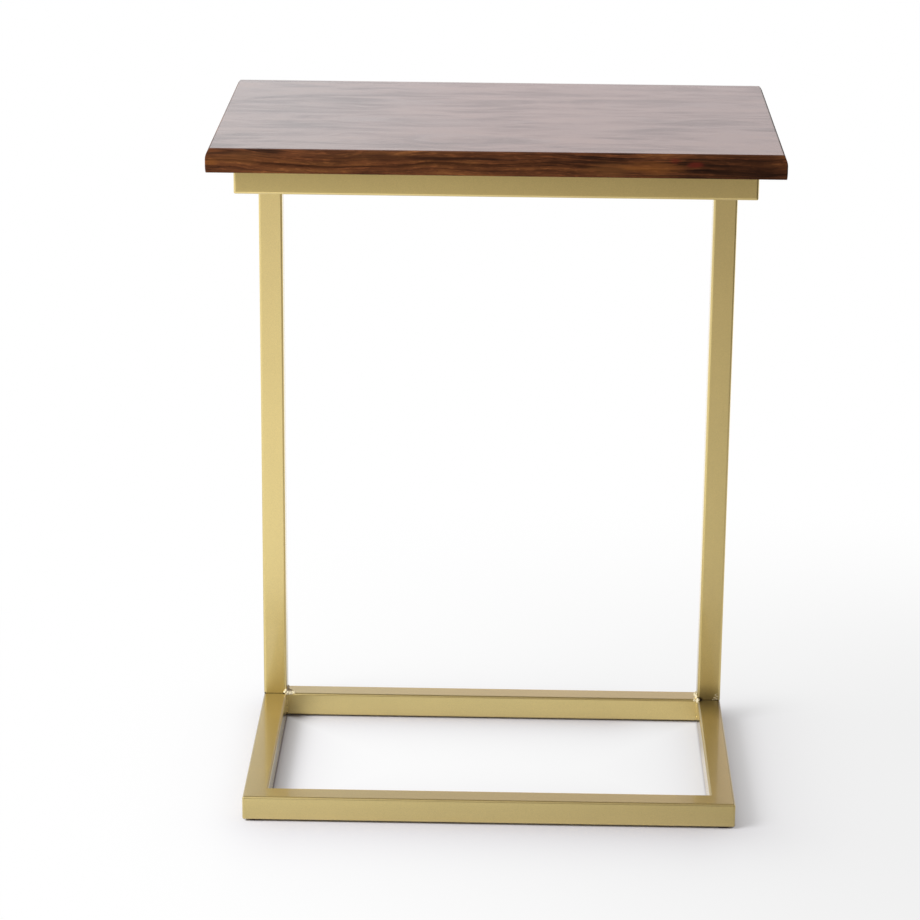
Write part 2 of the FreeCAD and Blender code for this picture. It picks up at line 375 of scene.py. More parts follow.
def build_grain_group():
    """Wood with growth rings round a pith along X: streaks and lines along them, flecks, fibres and pores."""
    tree, given, result = new_group(GRAIN, {
        "Vector": "Vector", "Pith": "Vector", "Seed": "Float", "Ring Spacing": "Float", "Waviness": "Float",
        "Dark": "Color", "Middle": "Color", "Light": "Color",
    }, {"Color": "Color", "Roughness": "Float", "Height": "Float", "Tone": "Float"})
    seed = join(tree, given["Seed"], given["Seed"], given["Seed"])

    def seeded(where, cells):
        """Coordinates of a noise that differs from board to board."""
        return vector_calc(tree, "ADD", vector_calc(tree, "MULTIPLY", where, cells), seed)

    def sway(cells, share):
        """Shift of the grain by a smooth noise."""
        shift = noise(tree, seeded(given["Vector"], cells), output="Color")
        centred = vector_calc(tree, "SUBTRACT", shift, (0.5, 0.5, 0.5))
        return vector_calc(tree, "SCALE", centred, product(tree, given["Waviness"], share))

    swayed = vector_calc(tree, "ADD", given["Vector"], sway(SLOW_SWAY, 1.0))
    swayed = vector_calc(tree, "ADD", swayed, sway(QUICK_SWAY, 0.16))
    off_pith = vector_calc(tree, "SUBTRACT", swayed, given["Pith"])
    reach = span(tree, vector_calc(tree, "MULTIPLY", off_pith, (0.0, 1.0, 1.0)))
    ring = calc(tree, "DIVIDE", reach, given["Ring Spacing"])
    along = calc(tree, "ADD", split(tree, off_pith)["X"], given["Seed"])

    def streak(along_scale, ring_scale, detail):
        """Noise that runs long with the grain and short across the rings."""
        where = join(tree, product(tree, along, along_scale),
                     product(tree, ring, ring_scale), given["Seed"])
        return noise(tree, where, detail, 0.55)

    def speckle(cells, detail, roughness=0.5):
        """Noise that follows the swayed grain."""
        return noise(tree, vector_calc(tree, "MULTIPLY", swayed, cells), detail, roughness)

    tone = product(tree, noise(tree, seeded(swayed, DRIFT), 3.0, 0.55), 0.5)
    tone = calc(tree, "MULTIPLY_ADD", streak(8.0, 1.7, 2.0), 0.28, tone)
    tone = calc(tree, "MULTIPLY_ADD", streak(18.0, 6.0, 2.0), 0.22, tone)
    shade = blend(tree, remap(tree, tone, 0.4, 0.5), given["Dark"], given["Middle"])
    shade = blend(tree, remap(tree, tone, 0.5, 0.62), shade, given["Light"])

    phase = calc(tree, "FRACT", calc(tree, "MULTIPLY_ADD", streak(2.0, 0.8, 2.0), 2.0, ring))
    line = product(tree, remap(tree, phase, 0.6, 0.95), remap(tree, streak(2.5, 0.6, 1.0), 0.38, 0.55))
    fibre = speckle(FIBRE, 2.0, 0.6)
    pore = remap(tree, speckle(PORE, 1.0), 0.62, 0.7)
    level = product(
        tree, calc(tree, "MULTIPLY_ADD", line, -0.55, 1.0), calc(tree, "MULTIPLY_ADD", fibre, 0.76, 0.62),
        remap(tree, speckle(FLECK, 1.0), 0.53, 0.72, 1.0, 1.6), calc(tree, "MULTIPLY_ADD", pore, -0.45, 1.0))

    feed(tree, result, Color=dimmed(tree, shade, level), Tone=tone,
         Roughness=calc(tree, "MULTIPLY_ADD", fibre, 0.16, 0.34),
         Height=calc(tree, "SUBTRACT", product(tree, fibre, 0.4), pore))


def build_spot_group():
    """Soft patch of figure in the wood round a centre, frayed along the grain."""
    tree, given, result = new_group(SPOT, {
        "Vector": "Vector", "Centre": "Vector", "Half Size": "Vector",
    }, {"Mask": "Float"})
    fray = noise(tree, vector_calc(tree, "MULTIPLY", given["Vector"], FRAY), 3.0, 0.6)
    off = vector_calc(tree, "SUBTRACT", given["Vector"], given["Centre"])
    far = span(tree, vector_calc(tree, "DIVIDE", off, given["Half Size"]))
    frayed = calc(tree, "MULTIPLY_ADD", calc(tree, "SUBTRACT", fray, 0.5), 1.6, far)
    feed(tree, result, Mask=remap(tree, frayed, 1.0, 0.2))


def build_mottle_group():
    """Fine uneven value over a surface, and its height."""
    tree, given, result = new_group(MOTTLE, {
        "Vector": "Vector", "Grain Size": "Float",
    }, {"Value": "Float", "Height": "Float"})
    scaled = vector_calc(tree, "SCALE", given["Vector"], calc(tree, "DIVIDE", 1.0, given["Grain Size"]))
    finer = vector_calc(tree, "SCALE", scaled, 2.3)
    feed(tree, result, Value=noise(tree, scaled, 3.0, 0.6), Height=noise(tree, finer))


def build_paint_group():
    """Sprayed metallic paint: fine flakes, a slight orange peel and a slow drift in how thick it lies."""
    tree, given, result = new_group(PAINT, {
        "Vector": "Vector", "Color": "Color",
    }, {"Color": "Color", "Roughness": "Float", "Height": "Float"})
    here = given["Vector"]
    flake = add_node(tree, "ShaderNodeTexVoronoi", {"Vector": here, "Scale": PAINT_FLAKES}).outputs["Color"]
    glint = split(tree, flake)["X"]
    drift = noise(tree, vector_calc(tree, "SCALE", here, PAINT_DRIFT))
    peel = noise(tree, vector_calc(tree, "SCALE", here, PAINT_PEEL), 1.0)
    level = remap(tree, glint, 0.0, 1.0, 0.94, 1.05)
    level = calc(tree, "MULTIPLY_ADD", calc(tree, "SUBTRACT", drift, 0.5), 0.08, level)
    feed(tree, result, Color=dimmed(tree, given["Color"], level),
         Roughness=calc(tree, "MULTIPLY_ADD", glint, 0.05, 0.3),
         Height=calc(tree, "MULTIPLY_ADD", glint, 0.15, peel))


# Materials

# A point on each board's pith, which runs along X, then seed, ring spacing and waviness
BOARD_GRAIN = {
    "top_board_front": ((0.0, -0.120, 0.585), 3.1, 5.5 * MM, 16 * MM),
    "top_board_front_middle": ((0.0, -0.030, 0.800), 7.7, 6.5 * MM, 20 * MM),
    "top_board_back_middle": ((0.0, 0.065, 0.600), 12.4, 5.0 * MM, 18 * MM),
    "top_board_back": ((0.0, 0.140, 0.780), 18.9, 6.0 * MM, 16 * MM),
}


def wood_material(board, look):
    """Wood of one board under a lacquer, which lies thick on the top face and thin on the edge; on the top
    face part of the grain is blended to the middle colour as a painted sheen.
    """
    material, tree, shader = new_material(
        "wood_" + board, Coat_Roughness=0.12, Coat_IOR=2.0, Specular_IOR_Level=0.05)
    pith, seed, spacing, waviness = BOARD_GRAIN[board]
    here = object_place(tree)
    grain = use_group(tree, GRAIN, {
        "Vector": here, "Pith": pith, "Seed": seed, "Ring Spacing": spacing, "Waviness": waviness,
        "Dark": linear(look.dark), "Middle": linear(look.middle), "Light": linear(look.light),
    })
    shade = grain["Color"]
    if board == BOARDS[0]:
        shade = front_figure(tree, here, shade, look)
    level = split(tree, here)["Z"]
    face_start = TOP_HIGH.z - 4 * look.ease
    # Painted sheen: the top face's grain blended part way to the middle colour
    painted_sheen = remap(tree, level, face_start, TOP_HIGH.z, 0.0, look.painted_sheen)
    lacquer = product(
        tree, remap(tree, level, face_start, TOP_HIGH.z, look.edge_lacquer, 1.0),
        remap(tree, grain["Tone"], 0.36, 0.56, 0.83, 1.0), remap(tree, grain["Height"], -0.5, 0.3, 0.95, 1.0))
    feed(tree, shader, Base_Color=blend(tree, painted_sheen, shade, linear(look.middle)),
         Roughness=grain["Roughness"], Coat_Weight=lacquer)
    bump(tree, shader, grain["Height"], 0.25, 0.1 * MM)
    return material


# Patches of figure on the front board's edge, in mm: colour, middle along X and above the underside, half
# sizes along both, and strength
FRONT_FIGURE = (
    ("light", (108, 7), (36, 11), 0.65),
    ("light", (-240, 15), (45, 8), 0.35),
    ("golden", (150, 10), (34, 8), 0.42),
    ("golden", (-271, 10), (11, 4), 0.4),
    ("dark", (235, 11), (60, 22), 0.62),
    ("red", (168, 17), (8, 4), 0.55),
    ("red", (188, 13), (10, 4), 0.7),
    ("dark", (-125, 17.5), (90, 6.5), 0.6),
    ("dark", (-168, 11), (35, 4), 0.4),
    ("dark", (-40, 16.8), (90, 3), 0.9),
    ("dark", (75, 14.5), (50, 2.2), 0.8),
)
FIGURE_DEPTH = 30 * MM


def front_figure(tree, here, shade, look):
    """Golden flame, red fleck and dark end on the front board's edge."""
    for tint, (x, up), (half_x, half_z), strength in FRONT_FIGURE:
        mask = use_group(tree, SPOT, {
            "Vector": here, "Centre": (x * MM, TOP_LOW.y, TOP_LOW.z + up * MM),
            "Half Size": (half_x * MM, FIGURE_DEPTH, half_z * MM)})["Mask"]
        shade = blend(tree, product(tree, mask, strength), shade, linear(getattr(look, tint)))
    return shade


# Linear colours of the dark seam and the painted shade at the uprights' feet, and of the pits in a bead
DARK_SEAM_AND_PAINTED_SHADE = (0.05, 0.027, 0.006, 1.0)
PITTED = (0.05, 0.035, 0.01, 1.0)
# How deep the painted shade round the feet is at the left and at the right, on an upright's foot and on the
# rail before it
UPRIGHT_PAINTED_SHADE = (0.0, 0.47)
RAIL_PAINTED_SHADE = (0.2, 0.58)
# How many times further the painted shade runs along the rail than up the upright
PAINTED_SHADE_STRETCH = 3.0


def gold_material(look):
    """Paint of the tubes, a little uneven where the mitred corners were welded and ground flush, with a dark
    seam and painted shade at the uprights' feet.
    """
    material, tree, shader = new_material("gold_paint", Metallic=0.95, Coat_Weight=1.0, Coat_Roughness=0.06)
    here = object_place(tree)
    paint = use_group(tree, PAINT, {"Vector": here, "Color": linear(look.gold)})
    inward = split(tree, vector_calc(tree, "SUBTRACT", BASE_HIGH, vector_calc(tree, "ABSOLUTE", here)))
    off_mitre = calc(tree, "ABSOLUTE", calc(tree, "SUBTRACT", inward["X"], inward["Y"]))
    ground = remap(tree, off_mitre, look.ground_band, 0.0)
    ripple = noise(tree, vector_calc(tree, "SCALE", here, GROUND_RIPPLES))
    height = calc(tree, "MULTIPLY_ADD", paint["Height"], 0.12, product(tree, ripple, ground))
    # Painted shade round the uprights' feet, deeper at the right, then the dark seam
    shade = blend(tree, foot_painted_shade(tree, here, look), paint["Color"], DARK_SEAM_AND_PAINTED_SHADE)
    shade = blend(tree, foot_seam(tree, here, look), shade, DARK_SEAM_AND_PAINTED_SHADE)
    feed(tree, shader, Base_Color=shade, Roughness=paint["Roughness"])
    bump(tree, shader, height, 0.22, 0.25 * MM)
    return material


def off_foot(tree, here, stretch=1.0):
    """Distance from the line where the uprights' fronts meet the base, divided by the stretch along Y."""
    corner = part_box("left_upright")[0]
    off = vector_calc(tree, "SUBTRACT", here, (0.0, corner.y, corner.z))
    return span(tree, vector_calc(tree, "MULTIPLY", off, (0.0, 1 / stretch, 1.0)))


def foot_painted_shade(tree, here, look):
    """Mask of painted shade round the uprights' feet, on the uprights' fronts and the rails before them,
    deeper at the right.
    """
    low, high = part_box("left_upright")
    inner = -high.x
    parts = split(tree, here)
    on_side = remap(tree, calc(tree, "ABSOLUTE", parts["X"]), inner - MM, inner + MM)
    upright = remap(tree, parts["X"], -inner, inner, *UPRIGHT_PAINTED_SHADE)
    rail = remap(tree, parts["X"], -inner, inner, *RAIL_PAINTED_SHADE)
    depth = between(tree, remap(tree, parts["Z"], low.z, low.z + MM), rail, upright)
    near = remap(tree, off_foot(tree, here, PAINTED_SHADE_STRETCH), look.foot_shade_reach, 0.0)
    return product(tree, near, on_side, depth)


def foot_seam(tree, here, look):
    """Mask of the dark seam where the uprights' front faces stand on the base, and of the gaps left in it."""
    low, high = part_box("left_upright")
    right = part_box("right_upright")[0].x
    edge = look.tube_corner
    gaps = ((low.x + 0.5 * edge, 2.0 * MM), (high.x - 1.3 * edge, 2.0 * MM), (right + edge, 5.0 * MM))
    mask = remap(tree, off_foot(tree, here), look.seam, 0.4 * look.seam, 0.0, 0.65)
    for across, size in gaps:
        off_gap = span(tree, vector_calc(tree, "SUBTRACT", here, (across, low.y, low.z)))
        mask = calc(tree, "MAXIMUM", mask, remap(tree, off_gap, size, 0.3 * size))
    return mask


def weld_material(name, shade, metallic):
    """The frame's paint over a weld bead, where it pools between the ripples."""
    material, tree, shader = new_material(name, Metallic=metallic, Coat_Weight=0.9, Coat_Roughness=0.1)
    here = object_place(tree)
    paint = use_group(tree, PAINT, {"Vector": here, "Color": linear(shade)})
    mottle = use_group(tree, MOTTLE, {"Vector": here, "Grain Size": 1.5 * MM})
    pit = remap(tree, mottle["Value"], 0.43, 0.35)
    feed(tree, shader, Base_Color=blend(tree, pit, paint["Color"], PITTED),
         Roughness=remap(tree, mottle["Value"], 0.3, 0.7, 0.28, 0.45))
    bump(tree, shader, mottle["Height"], 0.3, 0.2 * MM)
    return material


def mottled_material(name, first, second, grain_size, roughness, height, **constants):
    """Finish mottled from one colour to another; height is the bump's strength and depth."""
    material, tree, shader = new_material(name, **constants)
    mottle = use_group(tree, MOTTLE, {"Vector": object_place(tree), "Grain Size": grain_size})
    feed(tree, shader, Base_Color=blend(tree, mottle["Value"], first, second),
         Roughness=remap(tree, mottle["Value"], 0.3, 0.7, *roughness))
    bump(tree, shader, mottle["Height"], *height)
    return material


def felt_material(look):
    return mottled_material("pad_felt", linear(look.pad), linear(look.pad, 1.7), 0.6 * MM, (0.8, 0.95),
                            (0.6, 0.2 * MM), Sheen_Weight=0.3)


def zinc_material(look):
    return mottled_material("screw_zinc", linear(look.zinc, 0.75), linear(look.zinc), 0.8 * MM, (0.28, 0.42),
                            (0.15, 0.1 * MM), Metallic=1.0)


# Shapes

def new_object(name, mesh):
    piece = bpy.data.objects.new(name, mesh)
    bpy.context.scene.collection.objects.link(piece)
    return piece


def settle(piece, slot, *nodes):
    """Puts a finished piece on the frame in place of its nodes."""
    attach(piece, BODY)
    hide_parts(*nodes)


def paint_nodes(names, material):
    """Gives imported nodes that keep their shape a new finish."""
    for name in names:
        mesh = frame["nodes"][name].data
        mesh.materials.clear()
        mesh.materials.append(material)


def bow_inset(depth, height, away):
    """How far an edge curve of this depth and height has drawn in at a distance from its widest line."""
    bow = (height * height + depth * depth) / (2 * depth)
    return bow - math.sqrt(bow * bow - away * away)


def edge_profile(look):
    """Inset and level of the edge's section, from the underside up."""
    thickness = TOP_HIGH.z - TOP_LOW.z
    upper_start = thickness - look.upper_drop
    ease = look.ease
    section = [(look.lower_inset + ease, 0.0)]
    for step in range(look.edge_steps + 1):
        level = ease + (look.lower_rise - ease) * step / look.edge_steps
        section.append((bow_inset(look.lower_inset, look.lower_rise, look.lower_rise - level), level))
    for step in range(look.edge_steps + 1):
        away = (look.upper_drop - ease) * step / look.edge_steps
        section.append((bow_inset(look.upper_inset, look.upper_drop, away), upper_start + away))
    section.append((look.upper_inset + 0.5 * ease, thickness))
    return section


def top_ring(inset, look):
    """Outline of the top at an inset from its widest line, counter-clockwise, mitred away from that line."""
    radius = max(look.corner - 2 * inset, look.ease)
    points = []
    for quarter, (side_x, side_y) in enumerate(((1, 1), (-1, 1), (-1, -1), (1, -1))):
        centre_x = side_x * (TOP_HIGH.x - inset - radius)
        centre_y = side_y * (TOP_HIGH.y - inset - radius)
        for step in range(look.corner_steps + 1):
            angle = (quarter + step / look.corner_steps) * math.pi / 2
            points.append((centre_x + radius * math.cos(angle), centre_y + radius * math.sin(angle)))
    return points


def slab_mesh(look):
    """The whole top as a closed mesh: rings up the edge, with a flat face below and above."""
    slab = bmesh.new()
    rings = []
    for inset, level in edge_profile(look):
        rings.append([slab.verts.new((x, y, TOP_LOW.z + level)) for x, y in top_ring(inset, look)])
    for lower, upper in zip(rings, rings[1:]):
        for index in range(len(lower)):
            following = (index + 1) % len(lower)
            slab.faces.new((lower[index], lower[following], upper[following], upper[index]))
    slab.faces.new(list(reversed(rings[0])))
    slab.faces.new(rings[-1])
    return slab


def board_mesh(slab, low, high, name):
    """The strip of the slab between two glue lines."""
    strip = slab.copy()
    for level, way in ((low, -1), (high, 1)):
        cut = bmesh.ops.bisect_plane(
            strip, geom=strip.verts[:] + strip.edges[:] + strip.faces[:],
            plane_co=(0, level, 0), plane_no=(0, way, 0), clear_outer=True)
        rim = [item for item in cut["geom_cut"] if isinstance(item, bmesh.types.BMEdge)]
        if rim:
            bmesh.ops.contextual_create(strip, geom=rim)
    bmesh.ops.recalc_face_normals(strip, faces=strip.faces[:])
    for face in strip.faces:
        face.smooth = True
    for edge in strip.edges:
        flat = any(len(face.verts) > 4 for face in edge.link_faces)
        edge.smooth = not flat and edge.calc_face_angle(0.0) < math.radians(30)
    mesh = bpy.data.meshes.new(name)
    strip.to_mesh(mesh)
    strip.free()
    return mesh


BEAD_ATTRIBUTE = "bead_radius"
BEAD_TREE = "Weld Bead"


def build_bead_tree():
    """Ripples along a path, each as thick as the path's own bead radius there."""
    tree, given, result = new_group(BEAD_TREE, {
        "Geometry": "Geometry", "Ripple": "Float", "Jitter": "Float",
        "Seed": "Int", "Material": "Material",
    }, {"Geometry": "Geometry"}, "GeometryNodeTree")
    path = add_node(tree, "GeometryNodeMeshToCurve", {"Mesh": given["Geometry"]})
    points = add_node(tree, "GeometryNodeCurveToPoints", {
        "Curve": path.outputs["Curve"], "Length": given["Ripple"]}, mode="LENGTH")
    radius = add_node(tree, "GeometryNodeInputNamedAttribute", {"Name": BEAD_ATTRIBUTE}, data_type="FLOAT")
    thick = radius.outputs["Attribute"]
    stray = add_node(tree, "FunctionNodeRandomValue", {
        "Min": (-1.0, -1.0, -1.0), "Max": (1.0, 1.0, 1.0), "Seed": given["Seed"]}, data_type="FLOAT_VECTOR")
    far = product(tree, thick, given["Jitter"])
    offset = vector_calc(tree, "SCALE", stray.outputs["Value"], far)
    placed = add_node(tree, "GeometryNodeSetPosition", {
        "Geometry": points.outputs["Points"], "Offset": offset})
    swell_seed = add_node(tree, "FunctionNodeRandomValue", {"Seed": given["Seed"]}, data_type="FLOAT")
    swell = remap(tree, swell_seed.outputs[1], 0.0, 1.0, 0.75, 1.3)
    size = product(tree, thick, swell)
    stretch = join(tree, size, size, product(tree, size, 0.8))
    ball = add_node(tree, "GeometryNodeMeshIcoSphere", {"Radius": 1.0, "Subdivisions": 3})
    lumps = add_node(tree, "GeometryNodeInstanceOnPoints", {
        "Points": placed.outputs["Geometry"], "Instance": ball.outputs["Mesh"],
        "Rotation": points.outputs["Rotation"], "Scale": stretch})
    real = add_node(tree, "GeometryNodeRealizeInstances", {"Geometry": lumps.outputs["Instances"]})
    dressed = add_node(tree, "GeometryNodeSetMaterial", {
        "Geometry": real.outputs["Geometry"], "Material": given["Material"]})
    feed(tree, result, Geometry=dressed.outputs["Geometry"])


GROUP_BUILDERS = {
    GRAIN: build_grain_group, SPOT: build_spot_group, MOTTLE: build_mottle_group, PAINT: build_paint_group,
    BEAD_TREE: build_bead_tree,
}


def bead_piece(name, paths, seed, material, look):
    """Weld bead along paths of (x, y, z, radius) points, fused into one skin."""
    points = [stop for path in paths for stop in path]
    edges = []
    start = 0
    for path in paths:
        edges += [(start + index, start + index + 1) for index in range(len(path) - 1)]
        start += len(path)
    line = bpy.data.meshes.new(name + "_path")
    line.from_pydata([stop[:3] for stop in points], edges, [])
    radii = line.attributes.new(BEAD_ATTRIBUTE, "FLOAT", "POINT")
    radii.data.foreach_set("value", [stop[3] for stop in points])
    carrier = new_object(name + "_path", line)

    beads = carrier.modifiers.new("Bead", "NODES")
    beads.node_group = shared_group(BEAD_TREE)
    values = {"Ripple": look.ripple, "Jitter": look.jitter, "Seed": seed, "Material": material}
    for socket in beads.node_group.interface.items_tree:
        if socket.name in values:
            beads[socket.identifier] = values[socket.name]
    skin = carrier.modifiers.new("Skin", "REMESH")
    skin.mode = "VOXEL"
    skin.voxel_size = look.voxel
    skin.use_smooth_shade = True
    evaluated = carrier.evaluated_get(bpy.context.evaluated_depsgraph_get())
    mesh = bpy.data.meshes.new_from_object(evaluated)
    bpy.data.objects.remove(carrier)
    if not mesh.polygons:
        raise RuntimeError(name + " came out empty")
    mesh.name = name
    mesh.materials.clear()
    mesh.materials.append(material)
    return new_object(name, mesh)


# Operators

class SIDETABLE_OT_boards(bpy.types.Operator):
    """Makes the boards of the wooden top with their moulded edge"""
    bl_idname = "side_table.boards"
    bl_label = "Wooden Boards"

    def execute(self, context):
        look = context.scene.side_table.top
        slab = slab_mesh(look)
        for node in BOARDS:
            low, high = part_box(node)
            name = node.replace("top_board", "wood_board")
            mesh = board_mesh(slab, low.y, high.y, name)
            mesh.materials.append(wood_material(node, look))
            settle(new_object(name, mesh), "dark_wood", node)
        slab.free()
        return {"FINISHED"}


class SIDETABLE_OT_tubes(bpy.types.Operator):
    """Paints the rails and the uprights"""
    bl_idname = "side_table.tubes"
    bl_label = "Painted Tubes"

    def execute(self, context):
        paint_nodes(TUBES, gold_material(context.scene.side_table.frame))
        return {"FINISHED"}


# Fixed seeds of the beads' ripples, and how metallic the paint is on them
UPRIGHT_SEED = 11
CORNER_SEED = 21
UPRIGHT_METALLIC = 0.3
CORNER_METALLIC = 0.95

# Lumps of the foot welds as short paths, in lump radii from the inner front corner: inward, back, up, radius
FOOT_LUMPS = {
    "left": (
        ((-0.5, -0.1, 0.7, 0.55), (-0.4, -0.05, 1.4, 0.4)),
        ((0.1, -0.2, -0.05, 0.7), (0.3, 0.4, 0.05, 0.6)),
        ((1.1, 0.3, 0.05, 0.55), (1.0, 1.6, 0.1, 0.5)),
        ((2.0, 0.3, 0.0, 0.5), (1.9, 1.3, 0.0, 0.45)),
        ((2.8, 0.4, 0.0, 0.4), (2.6, 2.0, 0.0, 0.4)),
        ((1.4, 2.4, 0.05, 0.5), (1.2, 3.6, 0.05, 0.45)),
        ((0.5, 2.6, 0.05, 0.4), (0.4, 4.5, 0.05, 0.4)),
    ),
    "right": (
        ((-0.3, -0.35, -0.1, 0.8), (0.05, -0.35, -0.15, 0.8)),
        ((1.0, 0.0, -0.1, 0.75), (1.35, 0.1, -0.1, 0.65)),
        ((0.25, 1.8, 0.5, 0.75), (0.2, 2.4, 0.7, 0.65)),
        ((0.7, 3.8, 0.0, 0.4), (0.6, 6.0, 0.0, 0.4)),
        ((-5.7, 0.0, 0.2, 0.15), (-7.4, 0.0, 0.5, 0.16), (-5.9, 0.0, 1.0, 0.14), (-7.5, 0.0, 1.5, 0.16),
         (-6.3, 0.0, 2.1, 0.14), (-7.4, 0.0, 2.6, 0.15)),
    ),
}


def foot_lumps(side, corner, sign, lump):
    """Paths of (x, y, z, radius) through the lumps at an upright's inner front corner."""
    return [[(corner.x + sign * lump * inward, corner.y + lump * back, corner.z + lump * up, lump * size)
             for inward, back, up, size in path] for path in FOOT_LUMPS[side]]


class SIDETABLE_OT_upright_welds(bpy.types.Operator):
    """Makes the beads at the feet and the heads of the uprights"""
    bl_idname = "side_table.upright_welds"
    bl_label = "Upright Welds"

    def execute(self, context):
        look = context.scene.side_table.frame
        # Painted highlight: the uprights' beads take a paler copy of the gold paint
        material = weld_material("gold_weld", look.weld, UPRIGHT_METALLIC)
        for index, (side, sign) in enumerate((("left", 1), ("right", -1))):
            low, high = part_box(side + "_upright")
            inner = high.x if sign > 0 else low.x
            ends = (low.y + look.tube_corner, high.y - look.tube_corner)
            for end, level in (("foot", low.z), ("head", high.z)):
                paths = [[(inner, y, level, look.bead) for y in ends]]
                if end == "foot":
                    paths += foot_lumps(side, Vector((inner, low.y, level)), sign, look.lump)
                piece = bead_piece(side + "_" + end + "_bead", paths, UPRIGHT_SEED + index, material, look)
                settle(piece, "gold_paint", side + "_" + end + "_weld")
        return {"FINISHED"}


class SIDETABLE_OT_corner_welds(bpy.types.Operator):
    """Makes the beads in the inner corners of the base and the top frame"""
    bl_idname = "side_table.corner_welds"
    bl_label = "Corner Welds"

    def execute(self, context):
        look = context.scene.side_table.frame
        material = weld_material("gold_corner_weld", look.gold, CORNER_METALLIC)
        frames = (("base", BASE_LOW, BASE_HIGH), ("top", TOP_FRAME_LOW, TOP_FRAME_HIGH))
        for index, (prefix, low, high) in enumerate(frames):
            inner_x = high.x - TUBE_SIDE
            inner_y = high.y - TUBE_SIDE
            levels = (low.z + look.tube_corner, high.z - look.tube_corner)
            paths = [[(x * inner_x, y * inner_y, level, look.corner_bead) for level in levels]
                     for x in (-1, 1) for y in (-1, 1)]
            piece = bead_piece(prefix + "_corner_beads", paths, CORNER_SEED + index, material, look)
            settle(piece, "gold_paint", prefix + "_corner_welds")
        return {"FINISHED"}


class SIDETABLE_OT_pads(bpy.types.Operator):
    """Covers the foot pads in felt"""
    bl_idname = "side_table.pads"
    bl_label = "Foot Pads"

    def execute(self, context):
        paint_nodes(PADS, felt_material(context.scene.side_table.small))
        return {"FINISHED"}


class SIDETABLE_OT_screws(bpy.types.Operator):
    """Plates the wood screws under the top"""
    bl_idname = "side_table.screws"
    bl_label = "Wood Screws"

    def execute(self, context):
        paint_nodes(SCREWS, zinc_material(context.scene.side_table.small))
        return {"FINISHED"}


class SIDETABLE_OT_stage(bpy.types.Operator):
    """Lays the floor and sets the light and the camera"""
    bl_idname = "side_table.stage"
    bl_label = "Stage"

    def execute(self, context):
        look = context.scene.side_table.stage
        lay_floor(look)
        set_world(look)
        set_key(look)
        set_camera(look)
        context.scene.view_settings.view_transform = "Standard"
        return {"FINISHED"}


# Stage

WHITE = (1.0, 1.0, 1.0, 1.0)


def seen_directly(tree):
    """1 for rays from the camera, and for those that mirrors and glass pass on."""
    path = add_node(tree, "ShaderNodeLightPath").outputs
    seen = calc(tree, "MAXIMUM", path["Is Camera Ray"], path["Is Glossy Ray"])
    return calc(tree, "MAXIMUM", seen, path["Is Transmission Ray"])


def ramps(tree, parts, *steps):
    """Product of smooth ramps: each has an axis, two places along it and the levels there, if not 0 and 1."""
    return product(tree, *[remap(tree, parts[axis], *ends) for axis, *ends in steps])


# Ramps over the floor, in metres from the middle of the base

# Where the rails' shade changes to that left of the base, right of it and behind it
LEFT_SIDE = ("X", -0.20, -0.30)
RIGHT_SIDE = ("X", 0.20, 0.26)
BACK_SIDE = ("Y", 0.13, 0.25)
# Inside the base at the right, where the shade is thinner, and the share that is left there
INSIDE_RIGHT = (("X", 0.10, 0.20), ("X", 0.24, 0.23), ("Y", -0.15, -0.12))
THIN_SHADE = 0.55
# Painted shade: how grey the floor's right side is, as the camera sees it
PAINTED_SHADE_RIGHT = (("X", -0.4, 0.6, 0.0, 0.13), ("Y", 0.9, 0.1), ("Y", -1.8, -0.7), ("X", 2.0, 1.0))
# Painted shade and light on the floor before the base in reflections, darker near the base and at the right
# and lighter far in front, and how the white sheet fades out at the right
MIRRORED_FRONT = (
    ("X", -0.30, 0.45, 1.0, 0.52), ("Y", -0.19, -0.29, 0.56, 0.97), ("Y", -0.40, -0.85, 1.0, 0.92),
    ("Y", -1.10, -1.80, 1.0, 1.12),
)
SHEET_FADE = 0.2
PAST_SHEET = 0.1
# Where the floor inside the base starts, and where it has ended behind the table
INSIDE_START = ("Y", -0.16, -0.12)
INSIDE_END = ("Y", 0.2, 0.6)
# Painted light strips along the side rails in reflections: from the middle outwards, their ends, and their
# level
STRIP_SIDES = (0.208, 0.218)
STRIP_ENDS = (("Y", 0.07, 0.02), ("X", 0.24, 0.23))
STRIP_LEVEL = 0.95
# How warm the floor is in reflections: from the left on, far in front, from the base on, and at the right
WARM_SIDE = ("X", -0.45, 0.2, 0.3, 1.0)
WARM_FAR = ("Y", -1.9, -2.6)
WARM_FRONT = ("Y", -0.5, -2.0)
WARM_RIGHT = ("X", 0.0, 0.22, 0.0, 0.3)
# Level of the shaded floor's colour in reflections
MIRRORED_PAPER = 0.88


def rail_shade(tree, here, look):
    """Depth of the rails' shade on the floor, and the distance from a rail that it thins out with."""
    half = TUBE_SIDE / 2
    middle = (BASE_HIGH.x - half, BASE_HIGH.y - half, 0.0)
    beside = vector_calc(tree, "SUBTRACT", vector_calc(tree, "ABSOLUTE", here), middle)
    outside = span(tree, vector_calc(tree, "MAXIMUM", beside, (0.0, 0.0, 0.0)))
    outside = calc(tree, "MAXIMUM", calc(tree, "SUBTRACT", outside, half), 0.0)
    sides = split(tree, beside)
    inside = product(tree, calc(tree, "MAXIMUM", sides["X"], sides["Y"]), -1.0)
    inside = calc(tree, "SUBTRACT", calc(tree, "MAXIMUM", inside, half), half)
    away = calc(tree, "MULTIPLY_ADD", inside, look.inside_thin, outside)
    parts = split(tree, here)
    shade = product(
        tree, calc(tree, "EXPONENT", calc(tree, "DIVIDE", away, -look.shade_reach)),
        remap(tree, ramps(tree, parts, *INSIDE_RIGHT), 0.0, 1.0, 1.0, THIN_SHADE),
        ramps(tree, parts, (*LEFT_SIDE, 1.0, look.left_shade), (*RIGHT_SIDE, 1.0, look.right_shade),
              (*BACK_SIDE, 1.0, look.back_shade)))
    return shade, away


